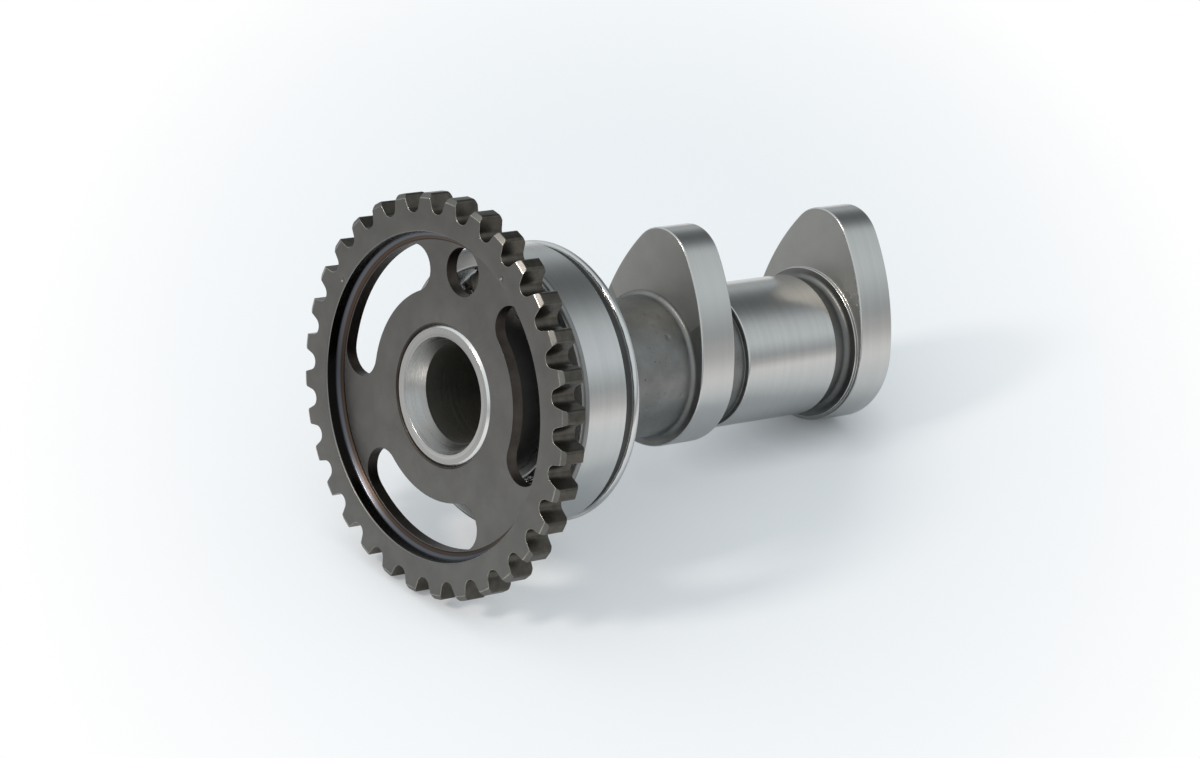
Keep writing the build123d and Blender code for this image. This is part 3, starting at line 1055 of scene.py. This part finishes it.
        # The hub behind the web is darkened as painted shade.
        hub_shade = satin_steel("Oiled hub", scaled(look.face_colour, 0.35), (0.4, 0.5))
        # The walls of the openings and the mouth of the bore are darkened as painted shade.
        shaded_walls = satin_steel("Slot walls", look.slot_shade_colour, (0.35, 0.5), 0.6, 0.01)
        give_finishes(
            piece,
            (gaps, above(-inf), above(WELD_RADIUS + 0.1), below(0.4)),
            (worn_and_highlit, below(0.1), above(WELD_RADIUS + 0.3), (0.2, 0.98)),
            (hub_shade, above(RIM_WIDTH + 0.01)),
            (polished, (0.1, WEB), (25.66, 27.3)),
            (shaded_walls, (WEB, RIM_WIDTH), (15.6, 26), below(0.9)),
            # This ring at the bore's mouth is a painted contact shadow round the nose.
            (shaded_walls, (WEB, WEB + 0.3), below(12.1), below(0.9)),
        )
        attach(piece, "shaft")
        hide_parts("sprocket")
        return {"FINISHED"}


class CAMSHAFT_OT_stage(bpy.types.Operator):
    """Lays the pale floor and sets the lights and the camera"""

    bl_idname = "camshaft.stage"
    bl_label = "Set the stage"

    def floor(self, look):
        """A wide floor that fades to white round the picture, as in a light tent, with painted
        contact shade near the object and a pale glow, painted light, that lifts its shadows for the
        camera.
        """
        low, size = CAD_BOX[0][2], FLOOR_HALF_WIDTH
        corners = [(-size, -size, low), (size, -size, low), (size, size, low), (-size, size, low)]
        mesh = bpy.data.meshes.new("floor")
        mesh.from_pydata(corners, [], [(0, 1, 2, 3)])
        floor = new_object("floor", mesh)
        shader = Shader("Pale floor")
        far = self.distance(shader, low)
        fade = shader.ramp(far, (0.13, 0.0), (0.33, 1.0))
        pale = shader.ramp(far, (0.13, tuple(look.glow_colour)), (0.33, 1.0))
        dim = shader.ramp(far, (0.35, 1.0), (0.8, 0.58))
        shade = {"Distance": CONTACT_SHADE_REACH}
        open_air = shader.node("ShaderNodeAmbientOcclusion", shade, samples=4).outputs["AO"]
        lit = shader.ramp(open_air, (0.2, 0.2), (0.95, 1.0))
        seen = shader.node("ShaderNodeLightPath").outputs
        rays = shader.math("MAXIMUM", seen["Is Camera Ray"], seen["Is Glossy Ray"])
        rays = shader.math("MAXIMUM", rays, seen["Is Transmission Ray"])
        # Painted light: the floor glows pale for the camera round the object, lifting its shadows.
        clear = shader.math("MULTIPLY", shader.math("SUBTRACT", 1.0, fade), look.glow)
        glow = shader.math("MULTIPLY", shader.math("MULTIPLY", clear, lit), seen["Is Camera Ray"])
        share = shader.math("ADD", shader.math("MULTIPLY", fade, rays), glow)
        # Painted shade: the floor's colour darkens where the object comes close, a painted contact
        # shadow.
        painted_contact_shade = shader.mix(lit, scaled(look.floor_colour, 0.7), tuple(look.floor_colour))
        shader.set(Base_Color=painted_contact_shade, Roughness=0.8, Specular_IOR_Level=0.2)
        strength = shader.math("MAXIMUM", dim, seen["Is Camera Ray"])
        white = shader.node("ShaderNodeEmission", {"Color": pale, "Strength": strength})
        layers = {0: share, 1: shader.surface.outputs[0], 2: white.outputs[0]}
        mixed = shader.node("ShaderNodeMixShader", layers)
        shader.put(shader.tree.nodes["Material Output"].inputs["Surface"], mixed.outputs[0])
        mesh.materials.append(shader.material)

    def distance(self, shader, low):
        """How far a place on the floor is from the middle of an oval round the object."""
        at = shader.node("ShaderNodeTexCoord").outputs["Object"]
        away = atan2(CAMERA_PLACE[1], CAMERA_PLACE[0])
        turn = {"Vector": at, "Location": (0.065, -0.02, -low), "Rotation": (0, 0, -away)}
        turned_in = shader.node("ShaderNodeMapping", turn).outputs[0]
        oval = shader.node("ShaderNodeMapping", {"Vector": turned_in, "Scale": (4.5, 9.0, 1.0)})
        length = shader.node("ShaderNodeVectorMath", {0: oval.outputs[0]}, operation="LENGTH")
        return shader.math("DIVIDE", length.outputs["Value"], 3.0)

    def surroundings(self, look):
        """A white tent with one dark opening high behind the object, darker at the horizon."""
        world = bpy.data.worlds.new("studio")
        world.use_nodes = True
        nodes = Nodes(world.node_tree)
        direction = nodes.node("ShaderNodeTexCoord").outputs["Generated"]
        across, high = radians(18), radians(35)
        opening = (cos(across) * cos(high), sin(across) * cos(high), sin(high))
        aimed = {0: direction, 1: opening}
        toward = nodes.node("ShaderNodeVectorMath", aimed, operation="DOT_PRODUCT")
        shares = ((0.6, 1.0), (0.8, 0.85), (0.87, 0.7), (0.93, 0.45), (0.97, 0.28), (1.0, 0.18))
        stops = [(spot, scaled(look.sky_colour, share)) for spot, share in shares]
        tent = nodes.ramp(toward.outputs["Value"], *stops)
        height = nodes.node("ShaderNodeSeparateXYZ", {0: direction}).outputs["Z"]
        rise = {"Value": height, "From Min": 0.02, "From Max": 0.28, "To Min": 0.5, "To Max": 1.0}
        horizon = nodes.node("ShaderNodeMapRange", rise).outputs[0]
        dimmed = nodes.node("ShaderNodeVectorMath", {0: tent, "Scale": horizon}, operation="SCALE")
        seen = nodes.node("ShaderNodeLightPath").outputs["Is Camera Ray"]
        colour = nodes.mix(seen, dimmed.outputs[0], (1, 1, 1))
        nodes.put(world.node_tree.nodes["Background"].inputs[0], colour)
        bpy.context.scene.world = world

    def key_light(self, look):
        light = bpy.data.lights.new("key", "AREA")
        light.shape = "RECTANGLE"
        light.size = light.size_y = KEY_SIZE
        light.energy = look.key_power
        light.color = look.key_colour
        lamp = new_object("key", light)
        lamp.location = Vector(KEY_DIRECTION) * KEY_DISTANCE
        lamp.rotation_euler = (Vector(KEY_AIM) - lamp.location).to_track_quat("-Z", "Y").to_euler()

    def camera(self, look):
        data = bpy.data.cameras.new("camera")
        data.lens = look.focal_length
        data.sensor_width = 36.0
        data.clip_start = 0.01
        data.dof.use_dof = False
        camera = new_object("camera", data)
        right, up = Vector(CAMERA_RIGHT), Vector(CAMERA_UP)
        turn = Matrix((right, up, right.cross(up))).transposed().to_4x4()
        camera.matrix_world = Matrix.Translation(Vector(CAMERA_PLACE) * MM) @ turn
        bpy.context.scene.camera = camera

    def execute(self, context):
        look = context.scene.camshaft_stage
        self.floor(look)
        self.key_light(look)
        self.surroundings(look)
        self.camera(look)
        context.scene.view_settings.view_transform = "Standard"
        return {"FINISHED"}


class CAMSHAFT_PT_build(bpy.types.Panel):
    """Lists the pieces that can be built"""

    bl_idname = "CAMSHAFT_PT_build"
    bl_label = "Camshaft"
    bl_space_type = "VIEW_3D"
    bl_region_type = "UI"
    bl_category = "Camshaft"

    def draw(self, context):
        for operator in OPERATORS:
            self.layout.operator(operator.bl_idname)


SETTINGS = {
    "camshaft_shaft": ShaftSettings,
    "camshaft_sprocket": SprocketSettings,
    "camshaft_bearing": BearingSettings,
    "camshaft_stage": StageSettings,
}
OPERATORS = (CAMSHAFT_OT_shaft, CAMSHAFT_OT_sprocket, CAMSHAFT_OT_bearing, CAMSHAFT_OT_stage)


def register():
    for group in SETTINGS.values():
        bpy.utils.register_class(group)
    for name, group in SETTINGS.items():
        setattr(bpy.types.Scene, name, bpy.props.PointerProperty(type=group))
    for part in (*OPERATORS, CAMSHAFT_PT_build):
        bpy.utils.register_class(part)


def unregister():
    for part in (CAMSHAFT_PT_build, *reversed(OPERATORS)):
        bpy.utils.unregister_class(part)
    for name in SETTINGS:
        delattr(bpy.types.Scene, name)
    for group in SETTINGS.values():
        bpy.utils.unregister_class(group)


def main():
    register()
    bpy.ops.camshaft.shaft()
    bpy.ops.camshaft.sprocket()
    bpy.ops.camshaft.bearing()
    bpy.ops.camshaft.stage()


if __name__ == "__main__":
    main()
